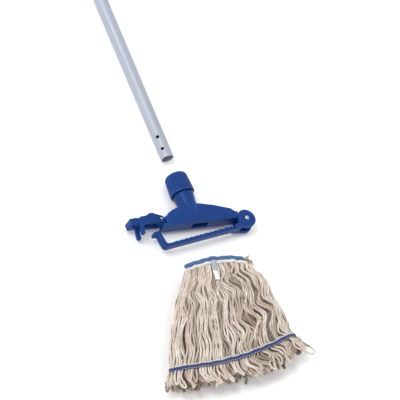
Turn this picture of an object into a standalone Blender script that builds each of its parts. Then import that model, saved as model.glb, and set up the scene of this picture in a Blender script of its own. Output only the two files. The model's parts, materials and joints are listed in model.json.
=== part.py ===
"""Looped string mop, taken apart for use: aluminium handle, plastic holder with a hinged
clamp jaw and a latch, and a cotton mop head with a head band and tail bands.

Metres, +Z up. +Y runs along the handle, +X along the holder towards its hinge. Everything
lies on the floor at Z = 0, and the origin is on the floor under the middle of the mop head."""

import math

import bmesh
import bpy
from mathutils import Matrix, Vector

# Places shared by the three main pieces.
MID_Z = 0.024  # height of the handle's axis and of the clamp jaw's mid plane
BASE_Y = 0.200  # underside of the holder
GAP = 0.0004  # clearance between neighbouring pieces
CUT_PAST = 0.002  # how far a cutter reaches past what it cuts
WELD = 0.00001

# Handle.
TUBE_R = 0.0125
TUBE_WALL = 0.0014
HANDLE_LENGTH = 1.250
HANDLE_START = 0.149  # above the holder's underside
HOLE_R = 0.0034
HOLE_HEIGHTS = (0.018, 0.044)
HOLE_TURN = math.radians(41)
GRIP_LENGTH = 0.130
GRIP_R = 0.0155
GRIP_RIBS = 9
GRIP_SET_BACK = 0.004  # from the tube's end
GRIP_MARGIN = 0.010  # plain sleeve before the first rib and after the last
RIB_DEPTH = 0.0011
CAP_LENGTH = 0.034
CAP_THICK = 0.012
CAP_STEM = 0.020
CAP_FLANGE = 0.004
CAP_CORE_R = 0.0040
CAP_TONGUE_R = 0.0115
EYE_R = 0.0048

# Holder body.
PLATE_HALF = 0.0135
TONGUE_HALF = 0.0060
TONGUE_R = 0.0115
ROOM_HALF = 0.020  # half depth of what cuts the plate's faces back beside a tongue
PLATE_LEFT = -0.075
WINDOW_X = (-0.008, 0.027)  # the pocket in the middle of the holder's underside
WINDOW_HALF = 0.0072
WINDOW_DEPTH = 0.0120
SPIGOT_R = 0.0168
SOCKET_R = TUBE_R + GAP
SOCKET_FLOOR = 0.045
SPIGOT_TOP = 0.0945
SPIGOT_ROOT = 0.010  # how far the spigot starts inside the neck
NECK_TOP = 0.067
NECK_R = 0.0200
NECK_FOOT_R = 0.0136
NECK_FOOT = 0.004

# Lock collar and the grip ring inside it.
COLLAR_LOW = 0.069
COLLAR_TOP = 0.111
COLLAR_R_LOW = 0.0238
COLLAR_R_TOP = 0.0218
COLLAR_EDGE = 0.0012
COLLAR_DOME = 0.0070
COLLAR_SHOULDER = 0.0080  # from the dome's foot to the collar's top
COLLAR_BORE = 0.0173
COLLAR_MOUTH = 0.0136
FLUTES = 20
FLUTE_R = 0.0021
FLUTE_OUT = (0.0009, 0.0011)  # how far the flutes' lines lie outside the collar, low and top
RING_LOW = 0.0968
RING_TOP = 0.1062
RING_R_LOW = 0.0164
RING_R_TOP = 0.0146
RING_SLOT = 0.0024

# Clamp jaw, its rivet and washer. Jaw shapes are drawn closed, about the rivet.
HINGE = Vector((0.105, BASE_Y - 0.003, MID_Z))
JAW_AJAR = math.radians(8.2)
JAW_HALF = 0.0068
LOBE_R = 0.0185
BAR_TOP = -0.0055
BAR_LOW = -0.0125
POST_IN = -0.1875
POST_OUT = -0.1952
POST_TOP = 0.024
SPUR_OUT = -0.2035
SPUR_LOW = 0.018
CHEEK_FOOT = -0.0310  # how far the hinge cheeks reach along the bar
POST_FILLET = 0.004
POST_CORNER = 0.008
TEETH = 12
TOOTH_HIGH = 0.0014
TOOTH_WIDE = 0.0060
TOOTH_FROM = -0.035
TOOTH_PITCH = 0.140 / TEETH
RIVET_R = 0.0030
RIVET_HEAD_R = 0.0042
RIVET_DOME = 0.45  # height of the rivet's head over that of a half ball
WASHER_R = 0.0062
WASHER_THICK = 0.0010
CHEEK_PROUD = 0.0002  # how far the hinge cheeks stand out past the plate

# Latch lever on the holder's left lug.
LATCH = Vector((-0.075, BASE_Y + 0.016, MID_Z))
LUG_R = 0.0060
LATCH_ROOM_X = (-0.015, 0.0095)  # about the pin
LATCH_ROOM_Y = (0.0048, 0.040)  # above the plate's underside
CHEEK_IN = 0.0072
CHEEK_OUT = 0.0132
NIB_AT = (-0.018, 0.0102)
NIB_R = 0.0030
NIB_HALF = CHEEK_IN + 0.002
LATCH_PIN_R = 0.0024
EYE_END_R = 0.0072  # the rounded end of the lever's cheeks, round its pin
TAB_HALF = 0.0110
BOSS_AT = (-0.0440, -0.0020)

# Mop head. Rows run from the head band (0) to the loop ends (1).
LEFT_EDGE = ((-0.0725, -0.1025), (-0.112, -0.158), (-0.150, -0.222), (-0.197, -0.314), (-0.214, -0.352))
RIGHT_EDGE = ((0.067, -0.102), (0.085, -0.146), (0.098, -0.200), (0.105, -0.264), (0.134, -0.298))
ROW_AT = (0.0, 0.25, 0.5, 0.8, 1.0)
ARCH = 0.011  # how far the head band rises in the middle
SAG = 0.026  # how far the loop ends hang lower in the middle
BUNDLES = 6
BACK_Z = (0.0, 0.0160)
FRONT_Z = (0.0320, 0.0460)
BAND_ROW = 0.775
BAND_WIDTH = 0.0075
TAPE = 0.0012
PIPING_R = 0.0032
HEAD_TAPE = 0.0026
HEAD_BAND_Z = (0.003, 0.044)
LABEL_PLACE = 0.42  # how far across the head band
LABEL = ((0, -0.002), (0.0100, -0.003), (0.0020, -0.040), (-0.0080, -0.039))
LABEL_THICK = 0.0008
STITCH_R = 0.0006

# Colours.
BLUE = (0.012, 0.085, 0.30)
NAVY = (0.02, 0.045, 0.20)
PIPING_BLUE = (0.03, 0.12, 0.36)
SILVER = (0.60, 0.63, 0.70)
STEEL = (0.62, 0.62, 0.63)
COTTON = (0.72, 0.64, 0.54)
WHITE = (0.82, 0.82, 0.80)
GREY = (0.10, 0.11, 0.12)

for old in list(bpy.data.objects):
    bpy.data.objects.remove(old, do_unlink=True)
parts = bpy.data.collections.new("string_mop")
cutters = bpy.data.collections.new("cutters")
for group in (parts, cutters):
    bpy.context.scene.collection.children.link(group)
cutters.hide_render = True


def material(name, colour, roughness, metallic=0.0):
    made = bpy.data.materials.new(name)
    made.use_nodes = True
    shader = made.node_tree.nodes["Principled BSDF"]
    shader.inputs["Base Color"].default_value = (*colour, 1.0)
    shader.inputs["Roughness"].default_value = roughness
    shader.inputs["Metallic"].default_value = metallic
    return made


FINISH = {
    "blue_plastic": material("blue_plastic", BLUE, 0.4),
    "aluminium": material("aluminium", SILVER, 0.35, 1.0),
    "steel": material("steel", STEEL, 0.25, 1.0),
    "cotton": material("cotton", COTTON, 0.95),
    "white_tape": material("white_tape", WHITE, 0.9),
    "navy_tape": material("navy_tape", NAVY, 0.9),
    "blue_tape": material("blue_tape", PIPING_BLUE, 0.85),
    "grey_plastic": material("grey_plastic", GREY, 0.55),
}


def place(name, mesh, finish=None, matrix=None):
    """A piece if it has a finish, and otherwise a cutter or a shape that a piece takes in."""
    made = bpy.data.objects.new(name, mesh)
    if matrix is not None:
        made.matrix_world = matrix
    if finish is None:
        cutters.objects.link(made)
        made.hide_render = True
        made.display_type = "WIRE"
    else:
        parts.objects.link(made)
        mesh.materials.clear()
        mesh.materials.append(FINISH[finish])
    return made


def smooth(mesh, degrees=35):
    mesh.shade_smooth()
    mesh.set_sharp_from_angle(angle=math.radians(degrees))


def from_bmesh(name, shape):
    bmesh.ops.recalc_face_normals(shape, faces=shape.faces)
    mesh = bpy.data.meshes.new(name)
    shape.to_mesh(mesh)
    shape.free()
    return mesh


def baked(source):
    """The curve object as a welded mesh, with the curve itself removed."""
    parts.objects.link(source)
    graph = bpy.context.evaluated_depsgraph_get()
    mesh = bpy.data.meshes.new_from_object(source.evaluated_get(graph))
    shape = bmesh.new()
    shape.from_mesh(mesh)
    bmesh.ops.remove_doubles(shape, verts=shape.verts, dist=WELD)
    bmesh.ops.recalc_face_normals(shape, faces=shape.faces)
    shape.to_mesh(mesh)
    shape.free()
    bpy.data.objects.remove(source, do_unlink=True)
    return mesh


def slab(name, outline, low, high):
    """A flat outline in X and Y, from one height to another."""
    curve = bpy.data.curves.new(name, "CURVE")
    curve.dimensions = "2D"
    curve.fill_mode = "BOTH"
    curve.extrude = (high - low) / 2
    spline = curve.splines.new("POLY")
    spline.points.add(len(outline) - 1)
    for point, (x, y) in zip(spline.points, outline):
        point.co = (x, y, 0, 1)
    spline.use_cyclic_u = True
    mesh = baked(bpy.data.objects.new(name, curve))
    mesh.transform(Matrix.Translation((0, 0, (low + high) / 2)))
    return mesh


def wire(name, points, radius, resolution=2):
    curve = bpy.data.curves.new(name, "CURVE")
    curve.dimensions = "3D"
    curve.bevel_depth = radius
    curve.bevel_resolution = resolution
    curve.use_fill_caps = True
    spline = curve.splines.new("POLY")
    spline.points.add(len(points) - 1)
    for point, place_at in zip(spline.points, points):
        point.co = (*place_at, 1)
    return baked(bpy.data.objects.new(name, curve))


def box(name, low, high):
    shape = bmesh.new()
    bmesh.ops.create_cube(shape, size=1)
    low, high = Vector(low), Vector(high)
    bmesh.ops.scale(shape, vec=high - low, verts=shape.verts)
    bmesh.ops.translate(shape, vec=(low + high) / 2, verts=shape.verts)
    return from_bmesh(name, shape)


def rod(name, start, end, radius_start, radius_end=None, sides=32):
    """A cylinder or a cone from one point to another."""
    start, end = Vector(start), Vector(end)
    shape = bmesh.new()
    bmesh.ops.create_cone(
        shape,
        cap_ends=True,
        segments=sides,
        radius1=radius_start,
        radius2=radius_start if radius_end is None else radius_end,
        depth=(end - start).length,
    )
    turn = (end - start).to_track_quat("Z", "Y").to_matrix().to_4x4()
    bmesh.ops.transform(shape, matrix=Matrix.Translation((start + end) / 2) @ turn, verts=shape.verts)
    return from_bmesh(name, shape)


def turned(name, profile, sides=48):
    """A solid of revolution about Y at the handle's axis. The profile lists radius and Y."""
    shape = bmesh.new()
    points = [shape.verts.new((radius, y, 0)) for radius, y in profile]
    for a, b in zip(points, points[1:] + points[:1]):
        shape.edges.new((a, b))
    bmesh.ops.spin(
        shape,
        geom=shape.verts[:] + shape.edges[:],
        cent=(0, 0, 0),
        axis=(0, 1, 0),
        angle=2 * math.pi,
        steps=sides,
        use_merge=True,
    )
    bmesh.ops.remove_doubles(shape, verts=shape.verts, dist=WELD)
    bmesh.ops.translate(shape, vec=(0, 0, MID_Z), verts=shape.verts)
    return from_bmesh(name, shape)


def bevel(piece, width, segments=2, degrees=40):
    made = piece.modifiers.new("bevel", "BEVEL")
    made.width = width
    made.segments = segments
    made.limit_method = "ANGLE"
    made.angle_limit = math.radians(degrees)
    made.use_clamp_overlap = True


def boolean(piece, other, operation):
    made = piece.modifiers.new(operation.lower(), "BOOLEAN")
    made.operation = operation
    made.object = other


def arc(centre, radius, start, end, steps):
    """Points round a centre, from one angle in degrees to another."""
    return [
        (
            centre[0] + radius * math.cos(math.radians(start + (end - start) * i / steps)),
            centre[1] + radius * math.sin(math.radians(start + (end - start) * i / steps)),
        )
        for i in range(steps + 1)
    ]


def shifted(points, dx, dy):
    return [(x + dx, y + dy) for x, y in points]


def handle():
    start = BASE_Y + HANDLE_START
    end = start + HANDLE_LENGTH
    inner = TUBE_R - TUBE_WALL
    tube = place(
        "handle_tube",
        turned("handle_tube", [(inner, start), (TUBE_R, start), (TUBE_R, end), (inner, end)], 40),
        "aluminium",
    )
    across = Vector((-math.sin(HOLE_TURN), 0, math.cos(HOLE_TURN)))
    for number, height in enumerate(HOLE_HEIGHTS):
        middle = Vector((0, start + height, MID_Z))
        reach = across * (TUBE_R + CUT_PAST)
        hole = rod(f"handle_hole_{number}", middle - reach, middle + reach, HOLE_R, sides=16)
        boolean(tube, place(f"handle_hole_{number}", hole), "DIFFERENCE")
    smooth(tube.data)
    grip_sleeve(end)
    hang_cap(end)


def grip_sleeve(end):
    low = end - GRIP_LENGTH - GRIP_SET_BACK
    high = end - GRIP_SET_BACK
    bore = TUBE_R + GAP
    profile = [(bore, high), (bore, low), (GRIP_R - 0.001, low), (GRIP_R, low + 0.002)]
    pitch = (high - low - 2 * GRIP_MARGIN) / GRIP_RIBS
    for rib in range(GRIP_RIBS):
        y = low + GRIP_MARGIN + rib * pitch
        profile += [(GRIP_R, y), (GRIP_R - RIB_DEPTH, y + 0.0015)]
        profile += [(GRIP_R - RIB_DEPTH, y + 0.0040), (GRIP_R, y + 0.0055)]
    profile += [(GRIP_R, high - 0.002), (GRIP_R - 0.001, high)]
    sleeve = place("handle_grip", turned("handle_grip", profile, 32), "grey_plastic")
    smooth(sleeve.data)


def hang_cap(end):
    """The end plug: a stem in the tube, a flange, and a flat tongue with the hanging hole."""
    stem_r = TUBE_R - TUBE_WALL - GAP
    flange = end + GAP
    top = flange + CAP_FLANGE
    profile = [(CAP_CORE_R, end - CAP_STEM - 0.002), (stem_r, end - CAP_STEM), (stem_r, flange)]
    profile += [(TUBE_R, flange), (TUBE_R, top), (TUBE_R - 0.0025, top + 0.002), (CAP_CORE_R, top + 0.002)]
    cap = place("hang_cap", turned("hang_cap", profile, 32), "grey_plastic")
    middle = end + CAP_LENGTH - CAP_THICK
    outline = [(-0.009, end + 0.002), (0.009, end + 0.002)] + arc((0, middle), CAP_TONGUE_R, 0, 180, 14)
    tongue = place("cap_tongue", slab("cap_tongue", outline, MID_Z - CAP_THICK / 2, MID_Z + CAP_THICK / 2))
    bevel(tongue, 0.0015)
    boolean(cap, tongue, "UNION")
    hole = rod("cap_hole", (0, middle, 0), (0, middle, 2 * MID_Z), EYE_R, sides=20)
    boolean(cap, place("cap_hole", hole), "DIFFERENCE")
    smooth(cap.data)


def plate_outline():
    """The holder's plate: flat underside, shoulders that rise to the neck, a round hinge end."""
    hinge = (HINGE.x, HINGE.y - BASE_Y)
    points = [(PLATE_LEFT, 0), (0.090, 0)]
    points += [(0.094, -0.0030)] + arc(hinge, TONGUE_R, -170, 90, 14)
    points += [(0.086, 0.0150), (0.080, 0.0215), (0.048, 0.0325), (0.017, 0.0400)]
    points += [(-0.020, 0.0400), (-0.045, 0.0320), (-0.0560, 0.0262), (-0.0590, 0.0200)]
    latch = (LATCH.x, LATCH.y - BASE_Y)
    points += arc(latch, LUG_R, 75, 200, 8)
    points += [(PLATE_LEFT, 0.0100)]
    return shifted(points, 0, BASE_Y)


def holder_body():
    low, high = MID_Z - PLATE_HALF, MID_Z + PLATE_HALF
    body = place("holder_body", slab("holder_body", plate_outline(), low, high), "blue_plastic")
    relieve_hinge(body)
    relieve_latch(body)
    neck = rod(
        "neck",
        (0, BASE_Y + NECK_FOOT, MID_Z),
        (0, BASE_Y + NECK_TOP, MID_Z),
        NECK_FOOT_R,
        NECK_R,
        48,
    )
    boolean(body, place("neck", neck), "UNION")
    spigot = rod(
        "spigot",
        (0, BASE_Y + NECK_TOP - SPIGOT_ROOT, MID_Z),
        (0, BASE_Y + SPIGOT_TOP, MID_Z),
        SPIGOT_R,
        sides=48,
    )
    boolean(body, place("spigot", spigot), "UNION")
    socket = rod(
        "socket",
        (0, BASE_Y + SOCKET_FLOOR, MID_Z),
        (0, BASE_Y + SPIGOT_TOP + CUT_PAST, MID_Z),
        SOCKET_R,
        sides=48,
    )
    boolean(body, place("socket", socket), "DIFFERENCE")
    pocket = box(
        "pocket",
        (WINDOW_X[0], BASE_Y - CUT_PAST, MID_Z - WINDOW_HALF),
        (WINDOW_X[1], BASE_Y + WINDOW_DEPTH, MID_Z + WINDOW_HALF),
    )
    boolean(body, place("pocket", pocket), "DIFFERENCE")
    holes = ((HINGE, RIVET_R), (LATCH, LATCH_PIN_R))
    for number, (centre, radius) in enumerate(holes):
        hole = rod(
            f"body_hole_{number}",
            (centre.x, centre.y, low - CUT_PAST),
            (centre.x, centre.y, high + CUT_PAST),
            radius + GAP / 2,
            sides=20,
        )
        boolean(body, place(f"body_hole_{number}", hole), "DIFFERENCE")
    smooth(body.data)


def relieve_hinge(body):
    """Room for the jaw's two cheeks, which leaves a tongue in the middle."""
    for side in (-1, 1):
        edges = sorted((MID_Z + side * TONGUE_HALF, MID_Z + side * ROOM_HALF))
        round_room = rod(
            f"hinge_room_{side}",
            (HINGE.x, HINGE.y, edges[0]),
            (HINGE.x, HINGE.y, edges[1]),
            LOBE_R + 2 * GAP,
            sides=40,
        )
        boolean(body, place(f"hinge_room_{side}", round_room), "DIFFERENCE")


def relieve_latch(body):
    """Room for the latch lever's cheeks, above the plate's left end."""
    for side in (-1, 1):
        edges = sorted((MID_Z + side * (CHEEK_IN - GAP), MID_Z + side * ROOM_HALF))
        room = box(
            f"latch_room_{side}",
            (LATCH.x + LATCH_ROOM_X[0], BASE_Y + LATCH_ROOM_Y[0], edges[0]),
            (LATCH.x + LATCH_ROOM_X[1], BASE_Y + LATCH_ROOM_Y[1], edges[1]),
        )
        boolean(body, place(f"latch_room_{side}", room), "DIFFERENCE")


def lock_collar():
    """Fluted nut over the spigot, rounded at its top, with a cone that squeezes the grip ring."""
    low, top = BASE_Y + COLLAR_LOW, BASE_Y + COLLAR_TOP
    cone_low = BASE_Y + RING_LOW - 0.0006
    cone_top = BASE_Y + RING_TOP + GAP
    slope = (RING_R_TOP - RING_R_LOW) / (RING_TOP - RING_LOW)
    lip = RING_R_LOW + slope * (cone_top - BASE_Y - RING_LOW) + 0.0005
    rim = (COLLAR_R_LOW, low + COLLAR_EDGE)
    profile = [(COLLAR_BORE, low), (COLLAR_R_LOW - COLLAR_EDGE, low), rim]
    profile += [(COLLAR_R_TOP, top - COLLAR_SHOULDER)]
    dome = arc((COLLAR_R_TOP - COLLAR_DOME, top - COLLAR_SHOULDER), COLLAR_DOME, 15, 90, 5)
    profile += dome
    profile += [(COLLAR_MOUTH, top), (COLLAR_MOUTH, cone_top), (lip, cone_top)]
    profile += [(COLLAR_BORE, cone_low)]
    collar = place("lock_collar", turned("lock_collar", profile, 60), "blue_plastic")
    grooves = None
    for flute in range(FLUTES):
        angle = 2 * math.pi * flute / FLUTES
        out = Vector((math.sin(angle), 0, math.cos(angle)))
        start = Vector((0, low - CUT_PAST, MID_Z)) + out * (COLLAR_R_LOW + FLUTE_OUT[0])
        end = Vector((0, top - 0.0075, MID_Z)) + out * (COLLAR_R_TOP + FLUTE_OUT[1])
        groove = place(f"flute_{flute}", rod(f"flute_{flute}", start, end, FLUTE_R, sides=8))
        if grooves is None:
            grooves = groove
        else:
            boolean(grooves, groove, "UNION")
    boolean(collar, grooves, "DIFFERENCE")
    smooth(collar.data, 30)


def grip_ring():
    """Split tapered ring that the collar squeezes onto the handle."""
    low, top = BASE_Y + RING_LOW, BASE_Y + RING_TOP
    inner = TUBE_R + GAP
    ring = place(
        "grip_ring",
        turned("grip_ring", [(inner, low), (RING_R_LOW, low), (RING_R_TOP, top), (inner, top)], 40),
        "grey_plastic",
    )
    slot_low = (-RING_SLOT / 2, low - CUT_PAST, MID_Z - RING_R_LOW - CUT_PAST)
    slot = box("ring_slot", slot_low, (RING_SLOT / 2, top + CUT_PAST, MID_Z))
    boolean(ring, place("ring_slot", slot), "DIFFERENCE")
    smooth(ring.data)


def clamp_jaw():
    """Bar with teeth, a post with a spur at its free end, and two hinge cheeks. Its origin is
    on the rivet's axis, and it rests ajar."""
    outline = [(-0.0150, BAR_TOP)]
    for tooth in range(TEETH):
        x = TOOTH_FROM - tooth * TOOTH_PITCH
        outline += [(x, BAR_TOP), (x - TOOTH_WIDE / 2, BAR_TOP + TOOTH_HIGH), (x - TOOTH_WIDE, BAR_TOP)]
    outline += [(POST_IN + POST_FILLET, BAR_TOP)]
    outline += arc((POST_IN + POST_FILLET, BAR_TOP + POST_FILLET), POST_FILLET, 270, 180, 4)[1:]
    outline += [(POST_IN, POST_TOP), (SPUR_OUT + 0.001, POST_TOP), (SPUR_OUT, POST_TOP - 0.001)]
    outline += [(SPUR_OUT, SPUR_LOW), (POST_OUT, SPUR_LOW - 0.0015)]
    outline += arc((POST_OUT + POST_CORNER, BAR_LOW + POST_CORNER), POST_CORNER, 180, 270, 6)
    outline += [(-0.060, BAR_LOW - 0.0003), (-0.0180, BAR_LOW - 0.0008), (-0.0135, BAR_LOW)]
    outline += arc((0, 0), 0.0128, 220, 206, 2)
    jaw_turn = Matrix.Translation(HINGE) @ Matrix.Rotation(JAW_AJAR, 4, "Z")
    jaw = place("clamp_jaw", slab("clamp_jaw", outline, -JAW_HALF, JAW_HALF), "blue_plastic", jaw_turn)
    cheek_in = TONGUE_HALF + GAP
    for side in (-1, 1):
        low, high = sorted((side * cheek_in, side * (PLATE_HALF + CHEEK_PROUD)))
        shape = [(CHEEK_FOOT, BAR_LOW + 0.0014), (CHEEK_FOOT, BAR_TOP - 0.0014), (-0.0190, -0.0045)]
        shape += arc((0, 0), LOBE_R, 176, -96, 26)
        cheek = place(f"jaw_cheek_{side}", slab(f"jaw_cheek_{side}", shape, low, high), matrix=jaw_turn)
        boolean(jaw, cheek, "UNION")
    hole = rod("jaw_hole", (0, 0, -0.03), (0, 0, 0.03), RIVET_R + GAP / 2, sides=20)
    boolean(jaw, place("jaw_hole", hole, matrix=jaw_turn), "DIFFERENCE")
    smooth(jaw.data)


def hinge_rivet():
    """Domed steel rivet with a washer under its back end."""
    front = MID_Z + PLATE_HALF + CHEEK_PROUD + GAP
    back = MID_Z - PLATE_HALF - CHEEK_PROUD - GAP
    under = back - WASHER_THICK - GAP
    shank = RIVET_R - GAP / 2
    axis = Matrix.Translation((HINGE.x, HINGE.y, 0))
    profile = [(0, under - 0.0014), (0.0030, under - 0.0010), (0.0036, under)]
    profile += [(shank, under), (shank, front), (RIVET_HEAD_R, front)]
    for radius, height in arc((0, 0), RIVET_HEAD_R, 0, 60, 4)[1:]:
        profile.append((radius, front + height * RIVET_DOME))
    place("hinge_rivet", screwed("hinge_rivet", profile), "steel", axis)
    bore = RIVET_R + GAP / 2
    ring = [(bore, back), (bore, back - WASHER_THICK), (WASHER_R, back - WASHER_THICK), (WASHER_R, back)]
    place("hinge_washer", screwed("hinge_washer", ring, closed=True), "steel", axis)


def screwed(name, profile, closed=False, sides=24):
    """A solid of revolution about Z, from radius and height. An open profile starts and ends
    on the axis."""
    shape = bmesh.new()
    if not closed:
        profile = profile + [(0, profile[-1][1] + 0.0001)]
    points = [shape.verts.new((radius, 0, z)) for radius, z in profile]
    for a, b in zip(points, points[1:]):
        shape.edges.new((a, b))
    if closed:
        shape.edges.new((points[-1], points[0]))
    bmesh.ops.spin(
        shape,
        geom=shape.verts[:] + shape.edges[:],
        cent=(0, 0, 0),
        axis=(0, 0, 1),
        angle=2 * math.pi,
        steps=sides,
        use_merge=True,
    )
    bmesh.ops.remove_doubles(shape, verts=shape.verts, dist=WELD)
    mesh = from_bmesh(name, shape)
    smooth(mesh)
    return mesh


def latch_lever():
    """Two cheeks that straddle the lug, joined by a finger tab and by the nib that holds the
    jaw's spur. Its origin is on its pin's axis."""
    at = Matrix.Translation(LATCH)
    cheek = arc((0, 0), EYE_END_R, -100, 60, 8)
    cheek += [(-0.0090, 0.0118), (-0.0130, 0.0145)] + arc((-0.0190, 0.0100), 0.0050, 70, 140, 3)
    cheek += [(-0.0310, 0.0100), (-0.0420, 0.0095), (-0.0480, 0.0060)]
    cheek += arc((-0.0490, -0.0240), 0.0045, 150, 330, 6)
    cheek += [(-0.0430, -0.0120), (-0.0370, -0.0070), (-0.0280, -0.0058)]
    lever = None
    for side in (1, -1):
        low, high = sorted((side * CHEEK_IN, side * CHEEK_OUT))
        mesh = slab(f"cheek_{side}", cheek, low, high)
        if lever is None:
            lever = place("latch_lever", mesh, "blue_plastic", at)
        else:
            boolean(lever, place(f"cheek_{side}", mesh, matrix=at), "UNION")
    tab = [(-0.0435, -0.0035), (-0.0435, 0.0060), (-0.0500, 0.0090), (-0.0655, 0.0080)]
    tab += [(-0.0670, 0.0065), (-0.0670, -0.0040), (-0.0655, -0.0055), (-0.0520, -0.0045)]
    tab_mesh = slab("latch_tab", tab, -TAB_HALF, TAB_HALF)
    boolean(lever, place("latch_tab", tab_mesh, matrix=at), "UNION")
    nib = rod("latch_nib", (*NIB_AT, -NIB_HALF), (*NIB_AT, NIB_HALF), NIB_R, sides=20)
    boolean(lever, place("latch_nib", nib, matrix=at), "UNION")
    boss_low = (*BOSS_AT, CHEEK_OUT - 0.0032)
    boss_top = (*BOSS_AT, CHEEK_OUT + 0.0018)
    boss = rod("latch_boss", boss_low, boss_top, 0.0045, 0.0038, sides=20)
    boolean(lever, place("latch_boss", boss, matrix=at), "UNION")
    hole = rod("latch_hole", (0, 0, -0.03), (0, 0, 0.03), LATCH_PIN_R + GAP / 2, sides=20)
    boolean(lever, place("latch_hole", hole, matrix=at), "DIFFERENCE")
    smooth(lever.data)
    half = CHEEK_OUT + 0.0006
    pin = rod("latch_pin", (0, 0, -half), (0, 0, half), LATCH_PIN_R - GAP / 2, sides=20)
    place("latch_pin", pin, "steel", at)
    smooth(pin)


def along(points, row):
    """A smooth curve through points at ROW_AT, read at one row."""
    last = len(ROW_AT) - 1
    i = min(max(j for j in range(last) if ROW_AT[j] <= row), last - 1)
    span = ROW_AT[i + 1] - ROW_AT[i]
    f = (row - ROW_AT[i]) / span
    a, b = Vector(points[i]), Vector(points[i + 1])

    def slope(j):
        before, after = max(j - 1, 0), min(j + 1, last)
        return (Vector(points[after]) - Vector(points[before])) / (ROW_AT[after] - ROW_AT[before])

    rise = slope(i) * span
    fall = slope(i + 1) * span
    return (
        a * (2 * f**3 - 3 * f**2 + 1)
        + rise * (f**3 - 2 * f**2 + f)
        + b * (3 * f**2 - 2 * f**3)
        + fall * (f**3 - f**2)
    )


def mop_point(row, across):
    """A point of the mop head, from its head band to its loop ends and from left to right."""
    left, right = along(LEFT_EDGE, row), along(RIGHT_EDGE, row)
    lift = (ARCH - (ARCH + SAG) * row) * 4 * across * (1 - across)
    x, y = left.lerp(right, across)
    return x, BASE_Y + y + lift


def ribbon(row, width, first=0.0, last=1.0, steps=18):
    """The outline of a strip across the mop head, with its upper edge on one row."""
    upper = [mop_point(row, first + (last - first) * i / steps) for i in range(steps + 1)]
    return upper + [(x, y - width) for x, y in reversed(upper)]


def strings():
    """Front and back layers of yarn, in bundles, pinched where the tail bands are sewn on."""
    rows = [i / 9 for i in range(10)]
    inset = GAP / (RIGHT_EDGE[0][0] - LEFT_EDGE[0][0])
    for layer, (low, high) in (("back", BACK_Z), ("front", FRONT_Z)):
        if layer == "back":
            groove_z = (low - CUT_PAST, low + TAPE + GAP)
        else:
            groove_z = (high - TAPE - GAP, high + CUT_PAST)
        groove_outline = ribbon(BAND_ROW - 0.004, BAND_WIDTH + 0.002, -0.03, 1.03)
        groove = place(f"groove_{layer}", slab(f"groove_{layer}", groove_outline, *groove_z))
        for number in range(BUNDLES):
            left = number / BUNDLES + inset
            right = (number + 1) / BUNDLES - inset
            outline = [mop_point(row, left) for row in rows]
            outline += [mop_point(row, right) for row in reversed(rows)]
            name = f"strings_{layer}_{number + 1}"
            bundle = place(name, slab(name, outline, low, high), "cotton")
            boolean(bundle, groove, "DIFFERENCE")


def head_band():
    """White tape over the folded yarns, and the blue piping on its upper edge."""
    tape = [mop_point(0, i / 18) for i in range(19)]
    outline = [(x, y + GAP) for x, y in tape] + [(x, y + GAP + HEAD_TAPE) for x, y in reversed(tape)]
    place("head_band", slab("head_band", outline, *HEAD_BAND_Z), "white_tape")
    piping_z = HEAD_BAND_Z[1] - PIPING_R
    rise = 2 * GAP + HEAD_TAPE + PIPING_R
    path = [(x, y + rise, piping_z) for x, y in tape]
    piping = wire("head_piping", path, PIPING_R)
    smooth(piping)
    place("head_piping", piping, "blue_tape")
    face = FRONT_Z[1] + GAP
    label = shifted(LABEL, *mop_point(0, LABEL_PLACE))
    place("care_label", slab("care_label", label, face, face + LABEL_THICK), "white_tape")


def tail_bands():
    """Navy tape sewn across each layer, with its row of stitches."""
    faces = {"back": BACK_Z[0], "front": FRONT_Z[1]}
    for layer, face in faces.items():
        low = face if layer == "back" else face - TAPE
        outline = ribbon(BAND_ROW, BAND_WIDTH, 0.002, 0.998)
        name = f"tail_band_{layer}"
        place(name, slab(name, outline, low, low + TAPE), "navy_tape")
    seam = [mop_point(BAND_ROW, 0.01 + 0.98 * i / 24) for i in range(25)]
    z = FRONT_Z[1] + GAP + STITCH_R
    stitch = wire("tail_stitching", [(x, y - BAND_WIDTH / 5, z) for x, y in seam], STITCH_R, 1)
    place("tail_stitching", stitch, "white_tape")


handle()
holder_body()
lock_collar()
grip_ring()
clamp_jaw()
hinge_rivet()
latch_lever()
strings()
head_band()
tail_bands()
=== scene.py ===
"""Looks of the looped string mop: handle, holder, clamp jaw, latch and cotton mop head.

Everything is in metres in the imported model's frame: +Y along the handle, +X along the holder
towards its hinge, +Z up from the floor."""

import json
import math

import bmesh
import bpy
import numpy as np
from mathutils import Matrix, Vector


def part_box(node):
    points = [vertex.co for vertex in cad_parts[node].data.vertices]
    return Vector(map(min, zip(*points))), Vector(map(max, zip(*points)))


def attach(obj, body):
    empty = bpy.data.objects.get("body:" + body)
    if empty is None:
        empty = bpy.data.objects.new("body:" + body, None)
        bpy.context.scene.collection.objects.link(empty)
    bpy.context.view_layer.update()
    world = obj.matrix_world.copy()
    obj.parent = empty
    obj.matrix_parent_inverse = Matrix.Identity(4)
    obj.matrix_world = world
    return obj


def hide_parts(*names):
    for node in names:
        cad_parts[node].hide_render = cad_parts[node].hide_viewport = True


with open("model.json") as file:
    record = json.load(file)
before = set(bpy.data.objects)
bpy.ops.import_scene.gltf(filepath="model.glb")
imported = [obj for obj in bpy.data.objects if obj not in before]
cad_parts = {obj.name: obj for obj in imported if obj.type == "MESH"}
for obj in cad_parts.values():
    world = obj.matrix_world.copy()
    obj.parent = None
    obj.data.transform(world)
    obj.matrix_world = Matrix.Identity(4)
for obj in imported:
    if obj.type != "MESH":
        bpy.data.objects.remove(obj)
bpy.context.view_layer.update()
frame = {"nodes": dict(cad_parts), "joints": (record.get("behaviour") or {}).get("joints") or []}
nodes = frame["nodes"]

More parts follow.
